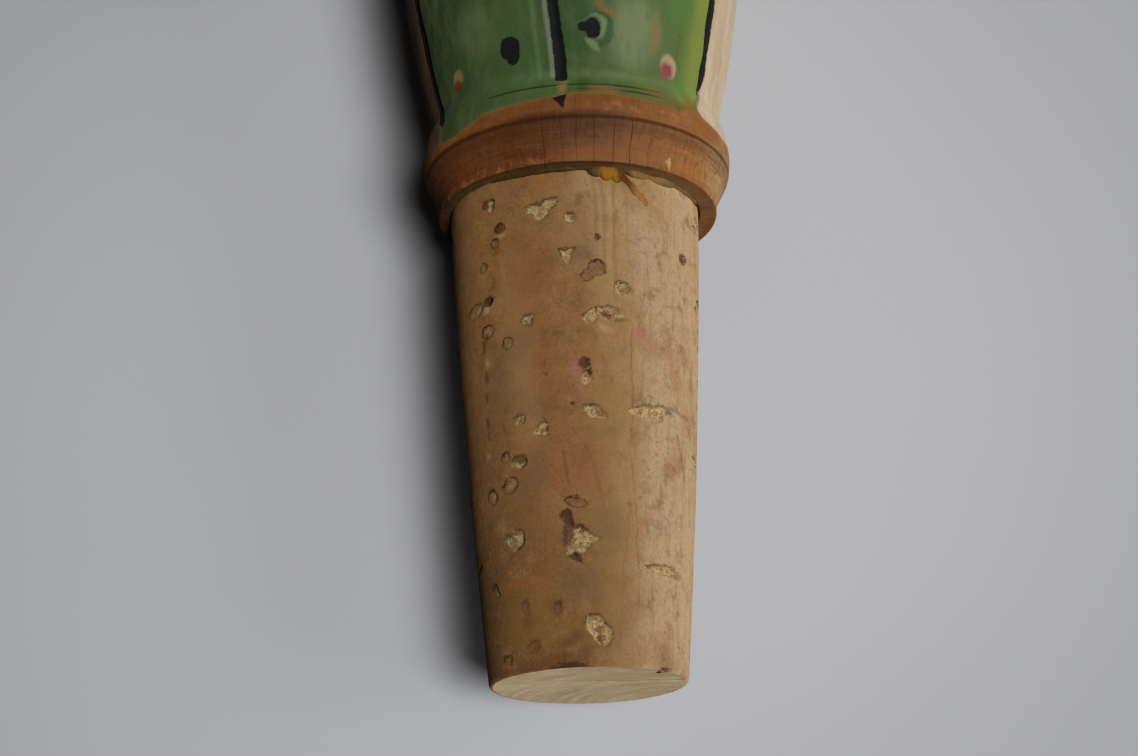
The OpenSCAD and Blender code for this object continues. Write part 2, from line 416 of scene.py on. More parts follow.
# the patches of each kind: along, turn, width, height and tilt, and the shape where it isn't round
corkPatches = {
    "pale": [
        (39.6, -35, 1.1, 1.3, 10), (38.3, -13, 1.5, 0.9, 5), (38.5, -5.5, 1.6, 1.0, 20),
        (37.9, -9, 1.5, 1.3, 0), (37.2, 4, 0.9, 1.1, 0), (33.7, 2, 1.5, 1.5, -90, "wedge"),
        (31.2, 27, 1.4, 1.2, 0), (28.8, -18, 1.2, 0.8, 15), (28.6, 12.2, 1.5, 1.2, 20),
        (28.9, 19.8, 3.7, 1.1, -6, "lens"), (23.3, 9.4, 0.8, 1.2, 0), (20.4, -25, 1.1, 0.9, 0),
        (19.5, -12.5, 1.5, 1.4, 80, "wedge"), (19.5, -12.5, 1.0, 0.9, 0),
        (20.5, 12.5, 2.4, 1.0, -28, "lens"), (20.9, 39, 3.6, 1.1, 3, "lens"),
        (21.1, 47, 2.6, 0.8, 8, "lens"), (20.6, 47, 0.6, 0.9, 0), (16.9, -26, 1.6, 1.1, 10),
        (10.1, 5.8, 2.8, 2.7, 0, "wedge"), (10.1, 3.6, 2.0, 2.2, 0), (10.6, -32, 2.1, 1.6, 5),
        (8, 53, 4.4, 0.9, -5, "lens"), (3.3, 10.2, 1.7, 1.5, -40), (2.6, 14.0, 1.6, 2.0, 25),
    ],
    "shade": [
        (40.0, -38.5, 0.4, 0.9, 10), (37.2, -31, 0.7, 0.7, 0), (23.9, 10.8, 0.5, 0.6, 30),
        (24.3, 6.2, 0.3, 0.4, 0), (23.6, 9.6, 0.3, 0.3, 0), (17.1, -26, 1.4, 0.7, 10),
        (23.9, -10.5, 0.3, 0.3, 0), (10.9, 5.6, 0.6, 0.5, 0), (11.2, -32, 1.6, 0.3, 5),
        (2.2, 12.6, 0.5, 0.9, 22), (0.1, -4, 3.2, 0.7, 0),
    ],
    "spot": [
        (38.3, -3.5, 0.4, 0.4, 0), (37.3, 5, 0.5, 0.6, 0), (31.1, 28, 0.9, 0.7, 0),
        (28.4, -17, 0.7, 0.5, 0), (28.7, 21.5, 2.3, 0.6, -12), (20.4, -25.5, 0.5, 0.3, 0),
        (19.3, -12, 0.5, 0.6, 0), (20.9, 36.5, 0.8, 0.5, 0), (10.5, -34.5, 1.1, 1.2, 0),
        (5.1, -28, 0.8, 1.2, 10), (4.7, -9.5, 0.7, 1.0, 0), (7.8, 61, 1.0, 0.4, -10),
        (2.7, 12.8, 0.55, 1.8, 22), (1.9, -24, 1.1, 1.0, 0),
    ],
    "brown": [
        (37.2, -30, 1.1, 0.9, 0), (32.8, 15.5, 1.5, 1.5, 15), (32.2, 11.5, 1.3, 1.0, 10),
        (13.1, 2.5, 1.9, 0.9, -15),
    ],
    "white": [
        (36.6, -29.5, 1.0, 0.4, 0), (35.7, 19.5, 1.2, 0.7, 25), (31.6, 37, 0.8, 0.7, 40),
        (30.9, -48, 1.4, 0.7, 10), (30.6, -40, 1.1, 0.7, 0), (28.6, -41, 1.0, 0.6, 0),
        (26.9, -28, 0.6, 0.5, 30), (27.6, 19, 1.2, 0.6, -20), (34.8, 72, 1.7, 0.9, -20),
        (39.3, 45, 0.7, 0.5, 0), (26, -42.5, 0.4, 0.6, 0), (18.1, -46, 0.4, 0.5, 0),
        (17.5, -34, 0.4, 0.5, 0), (15.1, -33, 1.0, 0.5, 20), (14.5, -45, 0.5, 0.9, 30),
        (12.9, 4.5, 1.2, 0.35, -15), (6.9, -50, 0.4, 0.9, 30),
    ],
    "ring": [
        (36, -33, 0.8, 0.9, 0), (34.3, -41, 0.8, 0.9, 0), (31.0, -49, 2.2, 1.2, 10),
        (28.6, -41, 1.6, 1.2, 0), (27.1, -29, 1.1, 1.1, 0), (17.6, -34.5, 0.8, 0.9, 0),
        (15.1, -33, 1.7, 1.2, 0), (14.6, -46, 1.3, 1.4, 30), (7, -50, 0.8, 1.3, 20),
        (1.3, -44, 1.2, 0.8, 0),
    ],
    "dark": [
        (35.5, 16, 0.5, 0.5, 0), (31.3, -39, 1.2, 0.8, 10), (35.2, 64, 1.0, 0.9, 0),
        (0.1, 56, 1.2, 0.7, 20, "wedge"),
    ],
    "grey": [
        (33.5, -4, 1.2, 0.5, 20), (40.4, -22, 1.3, 1.2, 0), (34.2, 9, 2.4, 1.4, 30),
        (26, -26, 2.6, 1.8, 0), (21.4, -23, 2.0, 0.9, 0), (21, -11, 1.4, 0.9, 0),
        (19, 21, 1.5, 0.7, 20), (0.9, 55, 2.2, 1.4, 0), (22.3, -30, 2.6, 1.5, 0),
        (27, -22, 2.4, 2.2, 0), (24.5, -35, 2.2, 3.0, 0), (15.5, -20, 3.0, 4.0, -20),
        (11, 20, 2.4, 3.6, 0), (6.5, 4, 3.6, 2.0, 0),
    ],
    "purple": [
        (28.9, 18.5, 1.3, 0.45, -10), (24.5, 8.4, 1.0, 0.85, 10), (21.2, 2, 0.35, 0.35, 0),
        (12.0, -3, 1.0, 0.9, -45), (10.7, -2.2, 0.9, 2.2, -10), (11.6, -2.6, 1.2, 0.7, -35),
        (8.6, 1.2, 1.1, 0.6, -25),
    ],
    "stain": [
        (28.3, 24.5, 1.0, 0.4, -20), (20.4, 14.5, 1.1, 0.6, -25), (21.1, 54.5, 0.9, 0.3, 0),
        (9.8, -0.4, 0.6, 1.5, -10), (4.1, -26, 0.6, 0.7, 0), (1.3, -35, 0.5, 0.5, 0),
    ],
    "pink": [
        (27.4, 35, 1.5, 1.3, -30), (31, 82, 0.8, 3.0, 0), (39.9, -30, 1.2, 0.7, 20),
        (24.6, 16, 1.6, 0.8, 15), (24.0, 4.5, 0.9, 1.6, 20), (22.4, 6.5, 0.7, 1.6, 25),
    ],
    "orange": [
        (40.6, -8.5, 0.9, 0.8, 0), (7, -33, 3.2, 0.6, 0),
    ],
    "rust": [
        (40.3, 34, 3.6, 1.7, -42), (24, -9, 1.4, 13.0, 4), (33, -17, 3.0, 6.0, 0),
        (16, 9, 2.6, 6.0, 20), (13, -24, 2.6, 5.0, 10),
    ],
    "rim": [
        (40.9, 28, 1.6, 0.9, -30), (4.0, -27, 1.0, 1.3, 0), (2.0, -3.5, 2.6, 1.3, 15),
        (2.4, 0.5, 1.5, 1.2, -20), (1.2, 5, 1.3, 1.2, 0), (1.9, -24, 1.5, 1.4, 0),
        (4.9, -10, 1.2, 1.5, 0), (0.2, -20, 9.0, 1.1, 0), (0.3, -8, 4.6, 2.2, 0),
    ],
    "yellow": [
        (25.7, 26, 0.5, 0.4, 0), (16, 52, 0.9, 0.9, 0), (2.4, 4, 5.5, 3.0, 0),
        (4.2, -26, 5.0, 4.2, 0),
    ],
    "fawn": [
        (25, -22, 2.4, 15.0, 2), (35.8, 4.5, 2.4, 3.0, 3),
    ],
    "straw": [
        (22, 23.5, 4.4, 46.0, 0), (39.9, 34, 7.5, 3.4, 0),
    ],
}

# the drawn lines of each finish: along and turn of both ends, width and strength
corkStrokes = {
    "umber": [
        ((30.2, 49), (30.7, 82), 0.16, 0.3), ((21.5, 54), (21.3, 70), 0.24, 0.4),
        ((19.5, 60), (16.1, 67), 0.3, 0.35), ((16.1, 67), (10, 66), 0.25, 0.2),
        ((28.4, -42), (27.9, -43), 0.42, 0.55), ((27.8, -44), (27, -44), 0.45, 0.55),
        ((25.2, -44), (24.5, -44), 0.5, 0.55), ((23.4, -44.5), (22.9, -44.5), 0.45, 0.55),
        ((21.3, -45), (20.6, -45), 0.48, 0.55), ((20.0, -45), (19.6, -45), 0.42, 0.5),
        ((6, -56), (4, -55), 0.2, 0.4), ((17.4, -3), (14.6, -1), 0.22, 0.4),
        ((10.6, -56), (7.4, -53), 0.3, 0.3), ((7.2, 62), (2, 66), 0.2, 0.3),
    ],
    "brown": [
        ((5.8, -10.5), (4.9, -10), 0.25, 0.8), ((41, 15), (36, 15.5), 0.3, 0.35),
        ((41, 19), (33, 19.5), 0.25, 0.4), ((41, 23.5), (30, 24.5), 0.3, 0.35),
        ((13, 30), (6, 25), 0.2, 0.45), ((6, 25), (1, 24), 0.2, 0.25),
        ((17, 10), (12, 17), 0.35, 0.3), ((11, 44), (2, 42), 0.2, 0.25),
    ],
    "white": [
        ((40, 17), (34, 17.5), 0.3, 0.3), ((39, 21.5), (31, 22), 0.3, 0.3),
        ((40, 41), (34, 41), 0.45, 0.4), ((36.5, 52), (22, 52), 0.3, 0.2),
    ],
}


def corkRadius(along):
    # a straight taper, plus 4 * swell * h * (length - h) / length squared
    taper = cork["endR"] + (corkTopR - cork["endR"]) * along / corkLen
    return taper + 4 * cork["swell"] * along * (corkLen - along) / corkLen ** 2


def corkProfile():
    # along and radius of each ring: end face, rounded edge, side, top face, then down the bore
    chamfer, edgeRows = cork["chamfer"], cork["edgeRows"]
    faceR = cork["endR"] - chamfer
    rings = [(0.0, faceR * (k + 1) / cork["faceRings"]) for k in range(cork["faceRings"])]
    for k in range(1, edgeRows):
        bend = math.pi / 2 * k / edgeRows
        rings.append((chamfer * (1 - math.cos(bend)), faceR + chamfer * math.sin(bend)))
    side = np.linspace(chamfer, corkLen, cork["sideRows"])
    rings += list(zip(side, corkRadius(side)))
    top, boreR = corkLen + recessDepth, dowelR + cork["boreGap"]
    rings += [(top - bevel, corkTopR), (top, corkTopR - bevel)]
    rings += [(top, boreR + bevel), (top - bevel, boreR)]
    boreEnd = dowelLow[1] - freeEndY - cork["boreGap"]
    rings += [(boreEnd + bevel, boreR), (boreEnd, boreR - bevel)]
    return np.array(rings), boreEnd


def scatteredPatches():
    # pits on the sides and back: round ones, and slots where the cut crosses the bark
    random = np.random.default_rng(cork["seed"])
    patches = []
    for _ in range(cork["backPits"]):
        turn = random.uniform(76, 292)
        slot = min(abs(turnGap(turn, 90)), abs(turnGap(turn, -90))) < 38
        width = random.uniform(1.0, 3.6) if slot else random.uniform(0.4, 1.5)
        height = random.uniform(0.3, 0.9) if slot else random.uniform(0.5, 1.4)
        kind = random.choice(["pale", "pale", "dark", "ring", "brown", "spot"])
        patch = (random.uniform(1.5, 40), turn, width, height, random.uniform(-15, 15))
        patches.append((kind, (*patch, "lens") if slot else patch))
    return patches


def makeCork():
    # radius = profile - pits - fine grain, every patch warped by noise
    rings, boreEnd = corkProfile()
    along, radius, turn = ringGrid(rings, cork)
    angle = np.radians(turn)
    flat = around(radius, angle, along)    # the smooth surface, for the noise to be read on
    onFace = along < 0.01
    isSide = (along > 0.02) & (along < corkLen + 0.01)
    isSide &= radius > cork["endR"] - cork["chamfer"] + 0.01
    grid = {"along": along, "turn": turn, "radius": np.maximum(radius, 0.1)}
    for shift, seed in (("shiftU", 21), ("shiftV", 31)):
        large, small = roughNoise(flat, 0.9, seed, 2), latticeNoise(flat, 0.28, seed + 4)
        grid[shift] = cork["ragged"] * large + cork["crumbs"] * small
    fields = {name: np.full(along.shape, farOutside) for name, *_ in corkFinishes}
    fields["pit"] = np.full(along.shape, farOutside)
    fields["crust"] = np.zeros(along.shape)
    depth = np.zeros(along.shape)
    shade = math.radians(cork["shadeTurn"])
    pitFloor = cork["floorD"] * latticeNoise(flat, 0.3, 5)
    listed = [(kind, patch) for kind, patches in corkPatches.items() for patch in patches]
    for kind, patch in listed + scatteredPatches():
        pitDepth, crust, finish = patchKinds.get(kind, (0.0, 0.0, kind))
        inside = patchInside(grid, patch)
        if pitDepth:
            depth = np.maximum(depth, (pitDepth + pitFloor) * softStep(0, cork["wall"], inside))
        if crust:
            patchAlong, patchTurn, width, height = patch[:4]
            across = np.radians(turnGap(turn, patchTurn)) * radius
            lean = across * math.cos(shade) + (along - patchAlong) * math.sin(shade)
            side = 0.5 + 0.5 * softStep(-0.1, 0.35, lean / max(width, height))
            fields["crust"] = np.where(inside > fields["pit"], crust * side, fields["crust"])
            fields["pit"] = np.maximum(fields["pit"], inside)
        if finish:
            fields[finish] = np.maximum(fields[finish], inside)
    drawn = {finish: np.zeros(along.shape) for finish in corkStrokes}
    for finish, strokes in corkStrokes.items():
        for first, last, width, strength in strokes:
            share = strength * softStep(-0.08, 0.1, strokeInside(grid, (first, last), width))
            drawn[finish] = np.maximum(drawn[finish], share)
    fine = cork["grainD"] * roughNoise(flat, 0.35, 41)
    dents = cork["dentD"] * roughNoise(flat, 7, 45, 2)
    depth = np.where(isSide, depth + fine + dents - cork["dentIn"], 0)
    depth *= softStep(corkLen, corkLen - 0.6, along)
    radius = radius - np.maximum(depth, -0.1)
    across, up = flat[..., 0], flat[..., 2]
    faceRelief = cork["faceIn"] + cork["faceD"] * roughNoise(flat * [0.35, 1, 1.2], 0.6, 47)
    split = np.abs(up - cork["splitUp"] + cork["splitLean"] * across - 0.05 * grid["shiftV"])
    splitCut = cork["splitD"] * softStep(-0.1, 0.1, cork["splitHalf"] - split)
    faceRelief += splitCut * softStep(-0.6, 0.2, across)
    along = along + np.where(onFace, np.maximum(faceRelief, 0), 0)
    rimChip = softStep(0, 0.2, patchInside(grid, cork["rimChip"]))
    radius = radius - cork["chipD"] * rimChip * isSide
    points = around(radius, angle, freeEndY + along, corkX, axisZ)
    poles = [(corkX, freeEndY + y, axisZ) for y in (0, boreEnd)]
    piece = solidFromRings("naturalCork", points, poles)
    lineTurn = np.interp(along, cork["lineAlong"], cork["lineTurn"])
    fromLine = np.radians(turnGap(turn, lineTurn)) * grid["radius"]
    fields["growth"] = fromLine + 0.1 * roughNoise(flat, 3, 51)
    fields["face"] = np.where(onFace, 1.0, 0.0)
    fields["split"] = np.where(across > -0.4, split, 1.0)
    for name, values in fields.items():
        storeField(piece, "cork_" + name, values)
    for name, values in drawn.items():
        storeField(piece, "corkStroke_" + name, values)
    return piece


# each finish: where its soft edge starts and ends, its strength and its colour; later ones
# lie over earlier ones
corkFinishes = [
    ("fawn", -1.0, 1.0, 0.5, (166, 126, 82)),
    ("straw", -1.0, 1.0, 0.42, (164, 127, 69)),
    ("yellow", -1.0, 1.0, 0.42, (142, 106, 50)),
    ("rust", -1.1, 0.9, 0.38, (140, 90, 52)),
    ("grey", -1.0, 0.8, 0.42, (116, 94, 66)),
    ("orange", -0.5, 0.5, 0.6, (156, 100, 46)),
    ("rim", -0.4, 0.6, 0.65, (104, 64, 34)),
    ("pink", -0.35, 0.45, 0.32, (180, 112, 104)),
    ("white", -0.18, 0.16, 0.6, (182, 150, 108)),
    ("pale", -0.05, 0.09, 0.95, (206, 178, 124)),
    ("brown", -0.08, 0.14, 0.6, (132, 92, 58)),
    ("purple", -0.1, 0.14, 0.8, (76, 42, 38)),
    ("umber", -0.08, 0.14, 0.8, (66, 42, 28)),
]


def corkMaterial():
    material, shader = newMaterial("natural_cork", specular=0.12, matt=1.0)
    plain = millimetres()
    broad = cloud(plain, 5, 3, 0.55)
    mottle = cloud(plain, 1.7, 4, 0.65)
    grain = cloud(plain, 0.24, 3, 0.75)
    cells = cloud(plain, 0.1, 1, 0.5)
    lines = cloud(millimetres((1, 0.05, 1)), 0.45, 3, 0.6)
    along = calc("SUBTRACT", axis(plain, 1), float(freeEndY))
    growth = field("cork_growth")

    # brown across the front, paler beyond the growth line and further over near the top
    upwards = ease(along, 26, 38, 0, 2.6)
    wander = ease(broad, 0.25, 0.75, -1.4, 1.4)
    beyond = plus(growth, upwards, wander)
    surface = layer(ease(beyond, -4.2, 1.8), tone(148, 107, 64), tone(183, 155, 120))
    # painted shade: darker towards the left side, most near the free end, and a little darker
    # across the front near the free end
    paintedSideShade = times(ease(growth, -5, -14, 0, 0.6), ease(along, 32, 4, 0.1, 1))
    paintedEndShade = times(ease(along, 14, 7, 0, 0.25), ease(growth, 1, -2))
    streaks = times(ease(lines, 0.5, 0.68, 0, 0.34), ease(growth, -5, -1))
    veinNoise = cloud(millimetres((1, 0.4, 1)), 4.0, 2, 0.5, 1.0)
    veins = times(near(veinNoise, 0.5, 0.0, 0.012, 0.32), ease(mottle, 0.38, 0.6))
    lineWander = ease(cloud(plain, 1.1, 2), 0.3, 0.7, -0.09, 0.09)
    inLine = near(plus(growth, lineWander), 0.0, 0.02, 0.11, 0.6)
    brokenLine = ease(cloud(plain, 1.5), 0.35, 0.6, 0.1, 1)
    inLine = times(inLine, near(along, 17, 9, 15), brokenLine)
    surface = tints(surface, [
        (paintedSideShade, (88, 60, 34)),
        (paintedEndShade, (96, 66, 38)),
        (ease(mottle, 0.5, 0.72, 0, 0.6), (116, 82, 46)),
        (ease(broad, 0.5, 0.68, 0, 0.45), (154, 100, 56)),
        (ease(mottle, 0.5, 0.3, 0, 0.4), (164, 128, 82)),
        (ease(grain, 0.5, 0.72, 0, 0.42), (98, 66, 36)),
        (ease(grain, 0.48, 0.26, 0, 0.3), (190, 150, 96)),
        (streaks, (140, 108, 64)),
        (flecks(plain, 0.9, 0.09, 0.4), (92, 56, 36)),
        (veins, (104, 68, 38)),
        (inLine, (96, 64, 32)),
    ])

    speckle = ease(grain, 0.3, 0.7, -0.1, 0.1)
    wobble = ease(cloud(plain, 0.3, 2, 0.7), 0.3, 0.7, -0.07, 0.07)
    edge = plus(speckle, wobble)
    for name, low, high, strength, colour in corkFinishes:
        inside = plus(field("cork_" + name), edge)
        amount = ease(inside, low, high, 0, strength)
        if name in corkStrokes:
            amount = calc("MAXIMUM", amount, field("corkStroke_" + name))
        surface = layer(amount, surface, tone(*colour))
    inPit = ease(plus(field("cork_pale"), edge), 0.02, 0.12)
    patchy = times(inPit, ease(cloud(plain, 0.6, 3, 0.65), 0.5, 0.64, 0, 0.6))
    crumbs = times(inPit, ease(cells, 0.5, 0.64, 0, 0.75))
    hollow = times(ease(field("cork_pit"), 0.0, 0.3, 0, 0.45), ease(grain, 0.4, 0.6))
    # a dark rim round each pit, stronger on one side
    crust = near(plus(field("cork_pit"), wobble), 0.02, 0.02, 0.15)
    crust = times(crust, field("cork_crust"), ease(mottle, 0.3, 0.5, 0.45, 1))
    surface = tints(surface, [
        (patchy, (138, 98, 58)),
        (crumbs, (118, 84, 48)),
        (hollow, (104, 72, 42)),
        (crust, (58, 36, 22)),
    ])

    # the end face: pale fresh-cut cork with faint growth lines and one split
    arcMiddle = (corkX + 6.0, float(freeEndY), axisZ - 9.0)
    slow = times(axis(plain, 0), 0.12)
    arcs = add("CombineXYZ", {"X": distance(plain, arcMiddle), "Y": slow}).outputs[0]
    faceLines = cloud(arcs, 0.5, 3, 0.6)
    faceTone = layer(ease(broad, 0.35, 0.65), tone(186, 169, 134), tone(172, 152, 118))
    faceSplit = ease(field("cork_split"), 0.05, 0.22, 0.7, 0)
    faceTone = tints(faceTone, [
        (ease(faceLines, 0.5, 0.68, 0, 0.45), (148, 124, 88)),
        (ease(faceLines, 0.5, 0.34, 0, 0.45), (204, 190, 156)),
        (ease(grain, 0.5, 0.75, 0, 0.5), (134, 114, 82)),
        (faceSplit, (130, 92, 52)),
    ])
    surface = layer(field("cork_face"), surface, faceTone)
    relief = plus(grain, times(cells, 0.5))
    dress(shader, surface, blend(inPit, 0.6, 0.9), bump(relief, 0.045))
    return material


corkPiece = makeCork()
corkPiece.data.materials.append(corkMaterial())
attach(corkPiece, "root")
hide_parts("cork")
print("natural cork:", len(corkPiece.data.polygons), "faces")


body = {
    "seatW": 1.4, "landH": 1.1, "crestH": 4.9, "neckIn": 0.8, "neckH": 8.3,
    "lineH": 3.55, "lineW": 0.3, "lineD": 0.18,
    "wideH": 38.5, "domeH": 16.5, "flarePower": 1.8,
    "necklineH": 10.0, "openingH": 7.0, "openingW": 0.9, "openingD": 0.4,
    "seamTurn": 63, "seamW": 0.6, "seamD": 0.25,
    "hemRagged": 0.08, "necklineHalf": 0.22,
    "recessGap": 0.15, "boreGap": 0.1,
    "frontHalf": 68, "frontColumns": 212, "backColumns": 112,
    # fine turned lines just above the coat's hem: height, first and last turn
    "rings": ((6.1, 10, 44), (6.55, -24, 42)),
    "ringD": 0.06, "ringW": 0.16,
    "ridgeD": 0.1, "ridgeFarD": 0.05,      # the raised lips left of the opening
    "facetD": 0.16, "facetW": 3.4, "facetH": 9.0,
    "coatWave": 0.1, "ragged": 0.09,
    "collarD": 0.03, "collarWave": 0.02, "latheD": 0.015,
    "nibbleD": 0.12, "blackD": 0.08, "creamD": 0.05, "lipD": 0.12,
    "flatRound": 0.3,
    "cracks": (-30, -23, -14, -6.5, 0.5, 6, 12.7, 20.4, 27),
}
rimR = corkTopR + body["seatW"]
neckR = crestR - body["neckIn"]

# turn and height above the collar's underside of the coat's hem
hemTurns = (-180, -66, -49, -43, -35, -28, -15, -4, 1, 8, 16, 27, 38, 47, 52, 56, 60, 66, 75, 180)
hemHeights = (
    6.3, 5.2, 4.45, 4.3, 4.7, 5.2, 5.3, 5.4, 5.6, 5.8,
    5.75, 5.6, 5.5, 5.7, 6.3, 6.4, 5.7, 5.55, 5.3, 6.3,
)

# the patches of each finish, in the same form as the cork's
paintPatches = {
    "mist": [
        (53.4, 29, 4.6, 6.6, 0), (49.3, 34, 3.0, 0.2, 0),
    ],
    "sage": [
        (50.5, 39, 2.4, 6.0, 10), (54.9, -30, 3.6, 5.0, 10), (50.0, 13, 3.0, 2.4, 0),
    ],
    "ochre": [
        (53.5, 37, 1.1, 3.2, 0), (48.0, 1.8, 0.9, 1.6, 0),
    ],
    "leaf": [
        (56.5, 48, 2.6, 4.0, 0), (49.5, 50, 1.8, 3.0, 0),
    ],
    "smear": [
        (47.2, -53, 4.6, 1.9, -15), (47.5, 45.5, 1.8, 0.9, -10),
    ],
    "shadow": [(53.3, 15.2, 2.9, 3.1, 0, "moon")],
    "lip": [
        (53.6, 14.3, 2.0, 2.1, 0, "moon"), (52.0, 13.0, 2.0, 0.75, -40, "lens"),
    ],
    "orange": [
        (55.6, 16.0, 0.8, 1.6, 25), (54.9, 19.5, 1.3, 0.8, -20), (56.5, 14.5, 0.8, 1.6, 10),
        (47.7, 17.0, 2.8, 0.7, 0),
    ],
    "black": [
        (52.3, -17.6, 1.95, 2.0, 20), (51.6, -16.8, 1.3, 1.5, 0), (53.4, 13.3, 1.35, 1.8, 0),
        (53.5, 10.4, 1.25, 0.9, 0), (46.4, 1.2, 1.35, 1.45, -80, "wedge"),
    ],
    "cream": [(51.1, 44.0, 1.8, 2.3, 15)],
    "magenta": [(50.7, 43.4, 1.5, 1.7, 15)],
    "faded": [(51.5, -43.0, 1.6, 1.3, 40)],
    "rust": [(50.9, -43.6, 1.1, 1.2, 20)],
    "golden": [
        (48.0, 53.5, 1.7, 2.2, -10), (47.9, 40.0, 3.6, 0.8, -10),
    ],
    "worn": [
        (42.4, 45.7, 0.4, 1.1, 0), (42.5, 44, 0.2, 0.3, 0),
    ],
}


def crestRadius(height):
    # an arc over the crest that goes through the neck: crestR - a + sqrt(a2 - (h - crestH)2)
    rise = body["neckH"] - body["crestH"]
    arcR = (body["neckIn"] ** 2 + rise ** 2) / (2 * body["neckIn"])
    return crestR - arcR + np.sqrt(np.maximum(arcR ** 2 - (height - body["crestH"]) ** 2, 0))


def outlineRadius(height):
    # rim, straight rise to the scored line, the larger of the crest arc and a flare of
    # neckR + (bodyR - neckR)(1 - (1 - t)^power), eased where they meet, then a quarter ellipse
    lineR = crestRadius(np.array(body["lineH"]))
    rise = rimR + (lineR - rimR) * softRamp(body["landH"], body["lineH"], height)
    flareShare = softRamp(body["neckH"], body["wideH"], height)
    flare = neckR + (bodyR - neckR) * (1 - (1 - flareShare) ** body["flarePower"])
    dome = bodyR * np.sqrt(np.maximum(1 - ((height - body["wideH"]) / body["domeH"]) ** 2, 0))
    middle = -smoothMin(-crestRadius(height), -flare, 0.5)
    return np.select([height < body["lineH"], height < body["wideH"]], [rise, middle], dome)


def softRamp(low, high, value):
    # the plain share of the way from low to high
    return np.clip((value - low) / (high - low), 0, 1)


def vee(gap, halfWidth):
    # a groove's section: 1 at its middle, falling evenly to 0 at its edges
    return np.clip(1 - np.abs(gap) / halfWidth, 0, 1)


def bodyProfile():
    # height, radius and centre of each ring: down from the blind end of the dowel's bore, across
    # the underside, then up the outside to near the top of the dome
    boreR, recessR = dowelR + body["boreGap"], corkTopR + body["recessGap"]
    boreEnd = dowelHigh[1] - bodyLow[1] + body["boreGap"]
    inner = [(boreEnd, boreR - bevel), (boreEnd - bevel, boreR), (recessDepth + bevel, boreR)]
    inner += [(recessDepth, boreR + bevel), (recessDepth, recessR - bevel)]
    inner += [(recessDepth - bevel, recessR), (bevel, recessR), (0.0, recessR + bevel)]
    under = [(0.0, recessR + (rimR - recessR) * k / 8) for k in range(1, 8)]
    under += [(0.0, rimR - 0.12), (0.035, rimR - 0.035)]
    wideH, domeH = body["wideH"], body["domeH"]
    heights = [wideH + domeH * math.sin(math.pi / 2 * k / 40) for k in range(1, 40)]
    spans = ((0.12, body["neckH"] + 0.6, 74), (9.05, 22, 86), (22.4, wideH, 34))
    for low, high, count in spans:
        heights += list(np.linspace(low, high, count))
    lines = [(ringH, 0.06) for ringH, *_ in body["rings"]]
    lines += [(body["lineH"], 0.15), (wideH + body["necklineH"], 0.15)]
    for lineH, half in lines:
        heights += [lineH - half, lineH, lineH + half]
    heights = np.unique(np.round(heights, 3))
    heights = heights[np.append(True, np.diff(heights) > 0.02)]
    outer = list(zip(heights, outlineRadius(heights)))
    centres = [corkX] * len(inner)
    for _, ringR in under:
        centres.append(corkX + (woodX - corkX) * (ringR - recessR) / (rimR - recessR))
    centres += [woodX] * len(outer)
    return np.array(inner + under + outer), np.array(centres), boreEnd, len(inner) + len(under)


def crackPhase(signed, lean):
    # a whole number at each crack round the collar, even steps between
    random = np.random.default_rng(7)
    turns = list(body["cracks"])
    while turns[-1] < 172:
        turns.append(turns[-1] + random.uniform(5, 10))
    while turns[0] > -172:
        turns.insert(0, turns[0] - random.uniform(5, 10))
    return np.interp(signed + lean, turns, np.arange(len(turns)))


